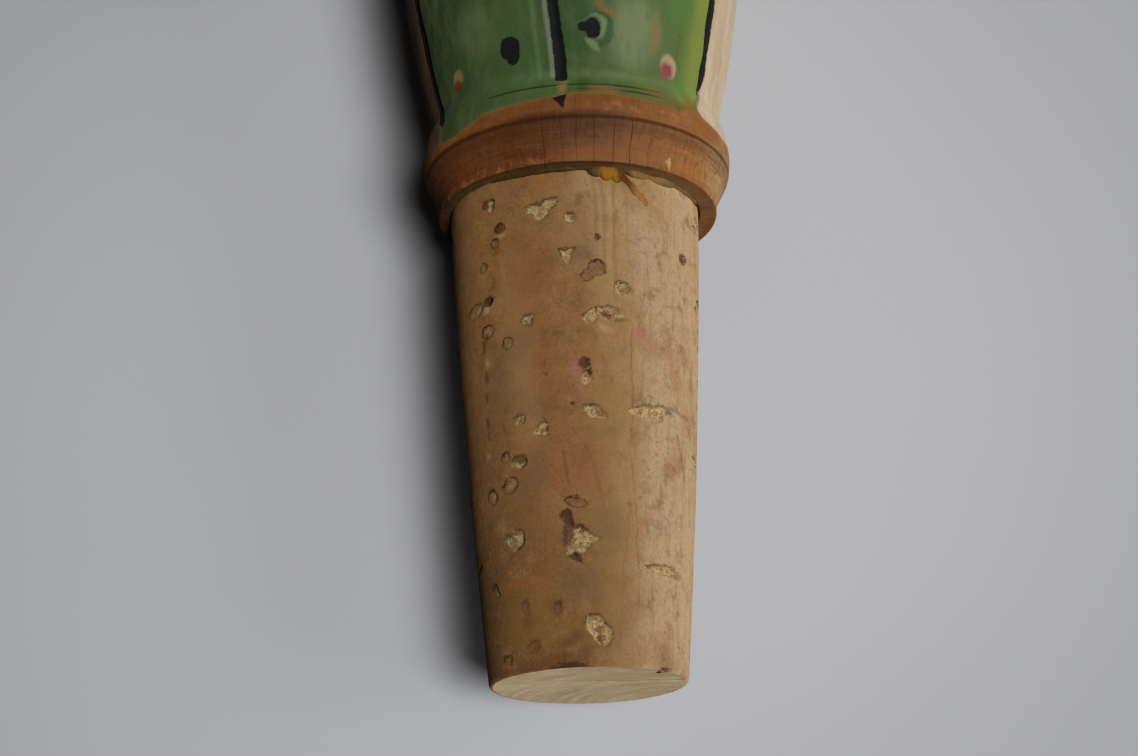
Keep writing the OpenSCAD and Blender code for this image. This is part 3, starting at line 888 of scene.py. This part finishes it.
def makeBody():
    # radius = outline - grooves - facets + raised lips, never past the flat of the back
    rings, centres, boreEnd, firstOuter = bodyProfile()
    height, radius, turn = ringGrid(rings, body)
    outer = np.arange(len(rings))[:, None] >= firstOuter
    angle = np.radians(turn)
    signed = turnGap(turn, 0)
    flat = around(radius, angle, height)
    grid = {"along": height + corkLen, "turn": turn, "radius": radius}
    for shift, seed in (("shiftU", 61), ("shiftV", 63)):
        grid[shift] = body["ragged"] * roughNoise(flat, 0.9, seed)
    belowNeckline = body["wideH"] + body["necklineH"] - height

    # where the coat, its black lines and its dots are
    hemWander = body["hemRagged"] * roughNoise(flat, 1.1, 65)
    hem = np.interp(signed, hemTurns, hemHeights) + hemWander
    wander = 1.6 * hill(height, 7.5, 2.0) - 0.8 * softStep(13, 20, height)
    swing = np.where(signed < 0, 8 * softStep(9.0, 5.5, height), 6 * softStep(8.5, 6.2, height))
    seam = body["seamTurn"] + 0.4 - wander - swing - 2.8 * (signed < 0)
    seamAcross = np.radians(np.abs(signed) - seam) * radius
    openingTurn = 1.4 - 2.2 * softStep(7, 16, height)
    openingAcross = np.radians(turnGap(turn, openingTurn)) * radius + 0.3 * grid["shiftU"]
    openingHalf = body["openingW"] / 2 * (1.15 - 0.08 * softStep(8, 14, height))
    aboveOpening = height - body["openingH"]
    opening = np.minimum(openingHalf - np.abs(openingAcross), aboveOpening)
    seamHalf = np.where(signed < 0, 1.05, 0.95) * body["seamW"]
    seamHalf = seamHalf * (1 + 0.25 * roughNoise(flat, 3, 67))
    startsIn = np.where(signed > 0, softStep(7.4, 11, height), softStep(5.6, 7, height))
    seamBlack = seamHalf * startsIn - 0.06 - np.abs(seamAcross)
    necklineBlack = body["necklineHalf"] - np.abs(belowNeckline) + 0.5 * grid["shiftV"]
    black = np.minimum(np.maximum(opening, seamBlack), belowNeckline)
    fields = {name: np.full(height.shape, farOutside) for name, *_ in paintFinishes}
    fields["black"] = np.maximum(black, necklineBlack)
    for name, patches in paintPatches.items():
        for patch in patches:
            fields[name] = np.maximum(fields[name], patchInside(grid, patch))
    coat = np.minimum(np.minimum(height - hem, -seamAcross), belowNeckline)
    fields["coat"] = coat
    fields["stain"] = hem + 0.5 * softStep(0.3, -0.3, seamAcross) - height
    showing = softStep(6.8, 7.6, height) * softStep(0, 1, belowNeckline)
    fields["ridge"] = hill(openingAcross, -0.74, 0.28) * showing
    fields["ridgeFar"] = hill(openingAcross, -1.85, 0.3) * showing
    fields["rightSeam"] = np.where(signed > 0, -seamAcross, 9.0)
    fields["turn"] = signed
    fields["radius"] = radius
    fields["rings"] = np.zeros(height.shape)
    for ringH, first, last in body["rings"]:
        ring = vee(height - ringH, body["ringW"]) * softStep(first - 6, first, signed)
        ring = ring * softStep(last, last - 6, signed)
        fields["rings"] = np.maximum(fields["rings"], ring)

    # relief
    openingVee = vee(openingAcross, openingHalf) ** 0.7 * softStep(-0.2, 0.6, aboveOpening)
    seamVee = vee(seamAcross, body["seamW"] / 2) * softStep(7.6, 8.6, height)
    lineHalf = body["lineW"] / 2
    scored = vee(height - body["lineH"], lineHalf) + vee(belowNeckline, lineHalf)
    waves = 0.6 + 0.5 * roughNoise(flat * [1, 0.5, 1], 5, 69)
    bare = softStep(0.1, 0.6, np.maximum(seamAcross, -belowNeckline))
    bare = bare * softStep(6.2, 8.5, height)
    facets = scallops(np.radians(signed) * bodyR, height, body["facetW"], body["facetH"], 5)
    onCollar = softStep(7.5, 5.5, height)
    collarWaves = body["collarWave"] * roughNoise(flat * [1, 0.3, 1], 0.8, 71)
    nibbled = softStep(0.35, 0.9, roughNoise(flat, 0.8, 73) + 0.25) * softStep(0.5, 0.05, height)
    sunk = fields["black"] - 9 * (np.abs(openingAcross) < 0.6)
    cut = (body["openingD"] * openingVee + body["seamD"] * seamVee) * (belowNeckline > 0)
    cut += body["lineD"] * scored
    cut += body["ringD"] * fields["rings"]
    cut -= body["ridgeD"] * fields["ridge"] + body["ridgeFarD"] * fields["ridgeFar"]
    cut += softStep(-0.1, 0.3, coat) * body["coatWave"] * waves
    cut += bare * body["facetD"] * facets
    cut += onCollar * (body["collarD"] + collarWaves)
    cut += onCollar * body["latheD"] * latticeNoise(flat * [0.15, 1, 0.15], 0.3, 77)
    cut += body["nibbleD"] * nibbled * outer
    cut += body["blackD"] * softStep(-0.05, 0.15, sunk)
    creamRise = body["creamD"] * softStep(-0.15, 0.2, fields["cream"])
    cut -= creamRise + body["lipD"] * softStep(-0.15, 0.2, fields["lip"])
    carved = np.minimum(radius - cut, np.minimum(radius + 0.1, bodyR))
    flatR = axisZ / np.maximum(-np.cos(angle), 1e-6)
    carved = np.where(outer, smoothMin(carved, flatR, body["flatRound"]), radius)
    points = around(carved, angle, bodyLow[1] + height, centres[:, None], axisZ)
    poles = [(corkX, bodyLow[1] + boreEnd, axisZ), (woodX, bodyHigh[1], axisZ)]
    piece = solidFromRings("carvedBody", points, poles)
    fields["crack"] = crackPhase(signed, 0.3 * roughNoise(flat * [1, 0.4, 1], 1.5, 75))
    for name, values in fields.items():
        storeField(piece, "wood_" + name, values)
    return piece


# the finishes of the painted wood, in the same form
paintFinishes = [
    ("mist", -1.0, 1.0, 0.85, (128, 139, 98)),
    ("sage", -0.8, 0.9, 0.6, (96, 108, 68)),
    ("leaf", -0.7, 0.8, 0.8, (84, 124, 56)),
    ("smear", -0.5, 0.6, 0.6, (72, 76, 44)),
    ("ochre", -0.25, 0.35, 0.75, (140, 116, 66)),
    ("orange", -0.3, 0.35, 0.6, (150, 104, 50)),
    ("golden", -0.4, 0.4, 0.62, (128, 100, 46)),
    ("shadow", -0.12, 0.2, 0.8, (54, 84, 44)),
    ("lip", -0.14, 0.2, 0.7, (128, 144, 96)),
    ("cream", -0.14, 0.24, 0.85, (180, 158, 122)),
    ("faded", -0.14, 0.24, 0.8, (142, 114, 76)),
    ("rust", -0.12, 0.25, 0.9, (104, 46, 30)),
    ("magenta", -0.15, 0.4, 0.9, (144, 50, 68)),
    ("worn", -0.08, 0.08, 0.9, (190, 150, 104)),
    ("black", -0.04, 0.06, 0.97, (22, 22, 26)),
]


def bodyMaterial():
    material, shader = newMaterial("painted_wood", specular=0.12, matt=1.0)
    plain = millimetres()
    alongGrain = millimetres((1, 0.1, 1))
    brushed = millimetres((1, 0.3, 1))
    turned = millimetres((0.08, 1, 0.08))
    across = axis(plain, 0)
    height = calc("SUBTRACT", axis(plain, 1), float(bodyLow[1]))
    turn = field("wood_turn")
    grain = cloud(alongGrain, 0.35, 4, 0.65)
    broadGrain = cloud(alongGrain, 1.6, 3, 0.6)
    fine = cloud(plain, 0.14, 2, 0.6)
    blots = cloud(plain, 2.2, 4, 0.65)
    wobble = ease(cloud(plain, 0.35, 3, 0.6), 0.2, 0.8, -0.1, 0.1)

    # bare limewood, darker beside the left seam: partly the wood's own brown and partly painted
    # shade
    bare = layer(ease(broadGrain, 0.3, 0.7), tone(196, 178, 152), tone(184, 161, 130))
    brownAndShade = ease(turn, -104, -84, 0, 0.9)
    brownAndShade = times(brownAndShade, ease(turn, -40, -46), ease(height, 40, 22))
    bare = tints(bare, [
        (ease(grain, 0.5, 0.8, 0, 0.45), (142, 110, 76)),
        (ease(blots, 0.6, 0.85, 0, 0.35), (130, 100, 72)),
        (brownAndShade, (92, 64, 46)),
    ])

    # brown stain on the collar, paler to the right and along its lower edge
    stained = layer(ease(broadGrain, 0.3, 0.7), tone(102, 57, 26), tone(112, 66, 32))
    lathe = cloud(turned, 0.22, 2, 0.6)
    onCrest = times(ease(height, 3.6, 4.0), ease(blots, 0.3, 0.7, 0.35, 0.9))
    # painted highlights: small glints of light along the crest
    sparks = ease(cloud(plain, 0.9, 3, 0.6), 0.48, 0.7, 0, 0.6)
    glints = times(near(height, 4.5, 0.2, 0.8), sparks, near(turn, 30, 14, 24))
    underLine = near(height, body["lineH"] - 0.55, 0.1, 0.9, 0.4)
    chips = ease(cloud(plain, 0.7, 4, 0.7), 0.48, 0.6, 0.15, 1.0)
    lowBand = times(ease(height, 2.2, 0.8, 0, 0.5), near(turn, 20, 12, 28))
    lowEdge = times(ease(height, 1.2, 0.2), chips)
    phase = calc("FRACT", plus(field("wood_crack"), 0.5))
    broken = ease(cloud(alongGrain, 2.5, 2), 0.35, 0.6, 0.25, 0.85)
    inFront = plus(near(turn, 10, 16, 32, 0.7), 0.3)
    broken = times(broken, ease(height, 3.7, 3.3, 0.4, 0.9), inFront)
    notBehind = ease(calc("ABSOLUTE", turn), 170, 165)
    cracked = times(near(phase, 0.5, 0.0, 0.05), broken, notBehind)
    # painted shade along the scored line across the front
    lineShade = times(near(height, body["lineH"] + 0.15, 0.15, 0.6, 0.5), near(turn, 2, 12, 28))
    stained = tints(stained, [
        (ease(across, 1, 11), (162, 110, 61)),
        (ease(across, 10.6, 13.2), (174, 140, 100)),
        (ease(grain, 0.46, 0.74, 0, 0.55), (76, 42, 22)),
        (ease(lathe, 0.5, 0.7, 0, 0.42), (76, 43, 23)),
        (ease(lathe, 0.48, 0.3, 0, 0.35), (132, 80, 44)),
        (onCrest, (136, 84, 44)),
        (glints, (172, 114, 70)),
        (underLine, (78, 44, 24)),
        (lowBand, (156, 102, 58)),
        (lowEdge, (146, 92, 54)),
        (cracked, (62, 34, 20)),
        (near(height, body["lineH"], 0.04, 0.26, 0.75), (56, 30, 16)),
        (lineShade, (62, 35, 20)),
    ])
    surface = layer(ease(plus(field("wood_stain"), wobble), -0.1, 0.2), bare, stained)
    underside = layer(ease(turn, 18, 26), tone(64, 50, 28), tone(92, 80, 56))
    nearRim = ease(field("wood_radius"), rimR - 0.75, rimR - 0.15, 0, 0.8)
    outerEdge = times(nearRim, ease(turn, 48, 34, 0.2, 1))
    underside = tints(underside, [
        (ease(turn, 28, 46), (112, 77, 42)),
        (ease(turn, 56, 66), (128, 88, 52)),
        (ease(blots, 0.5, 0.7, 0, 0.5), (60, 42, 24)),
        (outerEdge, (38, 25, 15)),
    ])
    surface = layer(ease(height, 0.06, 0.0, 0, 0.8), surface, underside)

    # green coat: brushed, with an olive border where it thins out
    coatEdge = plus(field("wood_coat"), wobble)
    onCoat = ease(coatEdge, -0.05, 0.07)
    strokes = cloud(brushed, 1.2, 4, 0.65)
    # the coat's green, with painted shade darkening it towards the left edge
    green = layer(ease(across, -12.5, -3), tone(50, 64, 37), tone(70, 93, 52))
    surface = layer(near(coatEdge, -0.08, 0.06, 0.22, 0.75), surface, tone(118, 96, 46))
    darker = cloud(brushed, 0.8, 4, 0.7, 0.5)
    besideSeam = near(field("wood_rightSeam"), 1.2, 0.3, 2.4, 0.7)
    thin = ease(field("wood_coat"), 0.08, 0.5, 0.4, 0)
    green = tints(green, [
        (near(across, 1.8, 0.4, 2.4, 0.9), (54, 84, 38)),
        (ease(across, 3, 9, 0, 0.8), (98, 117, 62)),
        (ease(strokes, 0.4, 0.7, 0, 0.4), (92, 110, 70)),
        (ease(blots, 0.55, 0.75, 0, 0.3), (100, 106, 58)),
        (ease(darker, 0.55, 0.75, 0, 0.5), (46, 64, 38)),
        (besideSeam, (136, 146, 66)),
        (thin, (96, 84, 44)),
    ])
    surface = layer(onCoat, surface, green)
    for name, low, high, strength, colour in paintFinishes:
        inside = plus(field("wood_" + name), times(wobble, 0.6))
        amount = ease(inside, low, high, 0, strength)
        if name in ("mist", "sage", "leaf", "ochre"):
            amount = times(amount, ease(strokes, 0.3, 0.55, 0.5, 1))
        surface = layer(amount, surface, tone(*colour))
        if name == "smear":
            # painted highlight along the raised ridges left of the opening, and the dark turned
            # rings
            surface = tints(surface, [
                (ease(field("wood_ridge"), 0.3, 1.0, 0, 0.65), (138, 134, 122)),
                (ease(field("wood_ridgeFar"), 0.3, 1.0, 0, 0.5), (100, 125, 84)),
                (ease(field("wood_rings"), 0.1, 0.8, 0, 0.8), (44, 38, 20)),
            ])
    # painted shade: coat and wood darken towards the left flank, fading out higher up
    paintedFlankShade = times(ease(turn, -42, -70, 0, 0.4), ease(turn, -108, -90))
    paintedFlankShade = times(paintedFlankShade, ease(height, 40, 22), ease(height, 14, 8, 0.8, 1.0))
    surface = layer(paintedFlankShade, surface, tone(24, 18, 13))
    inBlack = ease(field("wood_black"), -0.05, 0.08)
    rough = plus(blend(onCoat, 0.52, 0.44), ease(blots, 0.3, 0.8, -0.04, 0.12))
    woodRelief = calc("SUBTRACT", plus(grain, lathe, times(fine, 0.5)), cracked)
    paintRelief = plus(times(strokes, 1.2), times(fine, 0.3))
    relief = bump(blend(onCoat, woodRelief, paintRelief), 0.06)
    dress(shader, surface, blend(inBlack, rough, 0.75), relief)
    return material


bodyPiece = makeBody()
bodyPiece.data.materials.append(bodyMaterial())
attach(bodyPiece, "root")
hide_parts("carved_body")
print("carved body:", len(bodyPiece.data.polygons), "faces")


glue = {
    "fromTurn": -34, "toTurn": 84, "stations": 236, "sectionPoints": 14,
    "thick": 0.3, "tuck": 0.06,
    # drops: turn, reach down the cork and half their width in degrees
    "drops": ((16, 0.8, 4.5), (20.5, 1.1, 3.8), (25.5, 1.2, 3.2), (35.5, 0.5, 7.0), (49, 0.5, 9.0)),
    "runTurns": (26.5, 33.7, 37, 41), "runAlong": (41.2, 40.1, 39.5, 38.95),
    "runWide": 0.44, "runThick": 0.1,
    "runRound": 0.45, "runUp": 0.89,       # a section's direction, round the cork and up it
}


def makeGlueBead():
    # a bulging quarter round in the corner under the collar, its size wandering by noise, with
    # half-ellipse drops
    turn = np.linspace(glue["fromTurn"], glue["toTurn"], glue["stations"])[:, None]
    angle = np.radians(turn)
    ends = softStep(0, 10, turn - glue["fromTurn"]) * softStep(0, 8, glue["toTurn"] - turn)
    bulge = 0.8 + 0.5 * roughNoise(around(corkTopR, angle, 0 * angle), 1.6, 81)
    outSize = np.maximum(glue["thick"] * bulge, 0.1) * ends + 0.02
    downSize = 0.85 * outSize
    for dropTurn, drop, halfWidth in glue["drops"]:
        share = np.sqrt(np.maximum(1 - ((turn - dropTurn) / halfWidth) ** 2, 0))
        downSize = np.maximum(downSize, drop * share)
        outSize = outSize + 0.08 * share
    bend = np.linspace(0, math.pi / 2, glue["sectionPoints"] - 1)[None]
    out = np.concatenate([outSize * np.cos(bend), 0 * turn - glue["tuck"]], axis=1)
    down = np.concatenate([downSize * np.sin(bend), 0 * turn - glue["tuck"]], axis=1)
    out[:, -2] -= glue["tuck"]
    down[:, 0] -= glue["tuck"]
    radius = np.minimum(corkRadius(corkLen - down) + out, rimR - 0.15)
    return solidFromRings("glueBead", around(radius, angle, bodyLow[1] - down, corkX, axisZ))


def makeGlueRun():
    # a flat tear of glue down the cork: half-ellipse sections along a line that leans to the right
    share = np.linspace(0, 1, 40)[:, None]
    steps = np.linspace(0, 1, len(glue["runTurns"]))
    turn = np.interp(share, steps, glue["runTurns"])
    along = np.interp(share, steps, glue["runAlong"]) + 0.08 * np.sin(11 * share)
    size = np.sqrt(np.maximum(1 - (2 * share - 1) ** 6, 0.001))
    swelling = 0.9 - 0.4 * share + 0.3 * hill(share, 0.92, 0.1) + 0.16 * np.sin(19 * share + 1)
    size = size * swelling
    bend = np.linspace(0, 2 * math.pi, 12, endpoint=False)[None]
    sideways = glue["runWide"] * size * np.cos(bend)
    lift = glue["runThick"] * size * np.sin(bend) - 0.02
    angle = np.radians(turn) + glue["runRound"] * sideways / corkTopR
    spot = along + glue["runUp"] * sideways
    radius = corkRadius(spot) + 0.05 + np.maximum(lift, -0.14)
    return solidFromRings("glueRun", around(radius, angle, freeEndY + spot, corkX, axisZ))


def glueMaterial():
    material, shader = newMaterial("dried_glue", specular=0.1)
    plain = millimetres()
    across = axis(plain, 0)
    blots = cloud(plain, 1.3, 3, 0.6)
    specks = cloud(plain, 0.25, 3, 0.7)
    surface = layer(ease(blots, 0.35, 0.65), tone(82, 58, 18), tone(66, 50, 22))
    underCollar = near(axis(plain, 1), bodyLow[1], 0.55, 0.85, 0.8)
    underCollar = times(underCollar, ease(across, 5.6, 6.2))
    surface = tints(surface, [
        (near(across, 3.9, 0.5, 1.2), (138, 97, 16)),
        (near(across, 5.0, 0.3, 0.7, 0.9), (92, 50, 14)),
        (ease(across, 5.2, 6.2), (160, 106, 52)),
        (ease(across, 6.8, 7.8), (164, 124, 72)),
        (underCollar, (128, 98, 50)),
        (ease(across, 7.8, 8.7), (126, 102, 60)),
        (ease(specks, 0.5, 0.75, 0, 0.5), (60, 40, 18)),
    ])
    dress(shader, surface, ease(specks, 0.3, 0.7, 0.4, 0.65), bump(specks, 0.06))
    return material


glueFinish = glueMaterial()
for gluePiece in (makeGlueBead(), makeGlueRun()):
    gluePiece.data.materials.append(glueFinish)
    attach(gluePiece, "root")
print("dried glue made")


def dowelMaterial():
    material, shader = newMaterial("beech_dowel")
    alongGrain = millimetres((1, 0.1, 1))
    grain = cloud(alongGrain, 0.4, 4, 0.65)
    surface = layer(ease(grain, 0.35, 0.7), tone(206, 168, 120), tone(172, 128, 82))
    dress(shader, surface, ease(grain, 0.3, 0.7, 0.5, 0.7), bump(grain, 0.05))
    return material


dowelNode = frame["nodes"]["dowel"]
dowelNode.data.materials.clear()
dowelNode.data.materials.append(dowelMaterial())
print("dowel finished")

stageSettings = {
    "floorHalf": 1.6,                      # metres
    "ambient": 0.008,
    "backdrop": tone(182, 183, 185),
    "bounce": tone(66, 67, 69),            # the floor as it lights the object, dimmer than seen
    "topLight": {"lean": 21.5, "ahead": 18, "away": 2.0, "size": 0.6, "power": 29.6},
    "windowLight": {"lean": 66, "ahead": 15, "away": 2.0, "size": 1.3, "power": 13.4},
    "rearLight": {"lean": -4, "ahead": -80, "away": 2.0, "size": 0.5, "power": 9.0},
    "sideFill": {"lean": -80, "ahead": -60, "away": 2.0, "size": 0.5, "power": 0.8},
    "cameraAt": (17.15, -30.75, 163.13),   # from the middle of the cork's free end, in millimetres
    "cameraAim": (-0.92, 26.88, 0.0),
    "cameraRoll": -1.67,
    "lens": 63.6,
}


def makeFloor():
    # a flat sheet at z = 0, with a painted falloff of light that leaves it a little darker away
    # from the object
    half = stageSettings["floorHalf"]
    corners = [(-half, -half, 0), (half, -half, 0), (half, half, 0), (-half, half, 0)]
    mesh = bpy.data.meshes.new("floor")
    mesh.from_pydata(corners, [], [(0, 1, 2, 3)])
    floor = bpy.data.objects.new("floor", mesh)
    bpy.context.scene.collection.objects.link(floor)
    material, shader = newMaterial("pale_paper", roughness=0.8, specular=0.2)
    plain = millimetres()
    fromMiddle = distance(plain, (-7, float(freeEndY) + 36, 0))
    seen = add("LightPath").outputs["Is Camera Ray"]
    surface = layer(cloud(plain, 60, 2), tone(196, 197, 200), tone(202, 203, 206))
    surface = layer(ease(fromMiddle, 32, 80, 0, 0.3), surface, tone(120, 121, 124))
    surface = layer(seen, stageSettings["bounce"], surface)
    wire(shader.inputs["Base Color"], surface)
    mesh.materials.append(material)
    return floor


def makeWorld():
    # a dim even light, and the floor's own pale grey where the camera sees past the floor
    world = bpy.data.worlds.new("studio")
    bpy.context.scene.world = world
    world.use_nodes = True
    bench["tree"] = world.node_tree
    background = world.node_tree.nodes["Background"]
    seen = add("LightPath").outputs["Is Camera Ray"]
    wire(background.inputs["Color"], stageSettings["backdrop"])
    wire(background.inputs["Strength"], blend(seen, stageSettings["ambient"], 1.0))


def makeLight(name):
    # a square soft light, its direction leaning by lean degrees towards +X from straight above
    # and by ahead degrees towards the free end
    settings = stageSettings[name]
    data = bpy.data.lights.new(name, "AREA")
    data.shape = "SQUARE"
    data.size = settings["size"]
    data.energy = settings["power"]
    lamp = bpy.data.objects.new(name, data)
    lean, ahead = math.radians(settings["lean"]), math.radians(settings["ahead"])
    over = math.cos(lean)
    towards = Vector((math.sin(lean), -math.sin(ahead) * over, math.cos(ahead) * over))
    lamp.location = towards.normalized() * settings["away"]
    lamp.rotation_mode = "QUATERNION"
    lamp.rotation_quaternion = towards.to_track_quat("Z", "Y")
    lamp.visible_camera = False
    bpy.context.scene.collection.objects.link(lamp)
    return lamp


def passBy(lamp, floor):
    # a fill for the far sides: it gives no gloss and leaves the floor, and so its shadows, alone
    lamp.visible_glossy = False
    spared = bpy.data.collections.new(lamp.name + "Spares")
    spared.objects.link(floor)
    spared.collection_objects[0].light_linking.link_state = "EXCLUDE"
    lamp.light_linking.receiver_collection = spared


def makeCamera():
    # looks from cameraAt to cameraAim with +Y up the picture, then rolls
    data = bpy.data.cameras.new("camera")
    data.lens = stageSettings["lens"]
    data.clip_start = 0.005
    camera = bpy.data.objects.new("camera", data)
    endCentre = Vector((corkX, freeEndY, axisZ))
    at = (endCentre + Vector(stageSettings["cameraAt"])) * mm
    aim = (endCentre + Vector(stageSettings["cameraAim"])) * mm
    forward = (aim - at).normalized()
    level = forward.cross(Vector((0, 1, 0))).normalized()
    above = level.cross(forward)
    roll = math.radians(stageSettings["cameraRoll"])
    right = level * math.cos(roll) + above * math.sin(roll)
    up = above * math.cos(roll) - level * math.sin(roll)
    turned = Matrix((right, up, -forward)).transposed()
    camera.matrix_world = Matrix.Translation(at) @ turned.to_4x4()
    bpy.context.scene.collection.objects.link(camera)
    bpy.context.scene.camera = camera


floorSheet = makeFloor()
makeWorld()
makeLight("topLight")
makeLight("windowLight")
for fillName in ("rearLight", "sideFill"):
    passBy(makeLight(fillName), floorSheet)
makeCamera()
bpy.context.scene.view_settings.view_transform = "Standard"
print("floor, light and camera made")

bpy.context.view_layer.update()
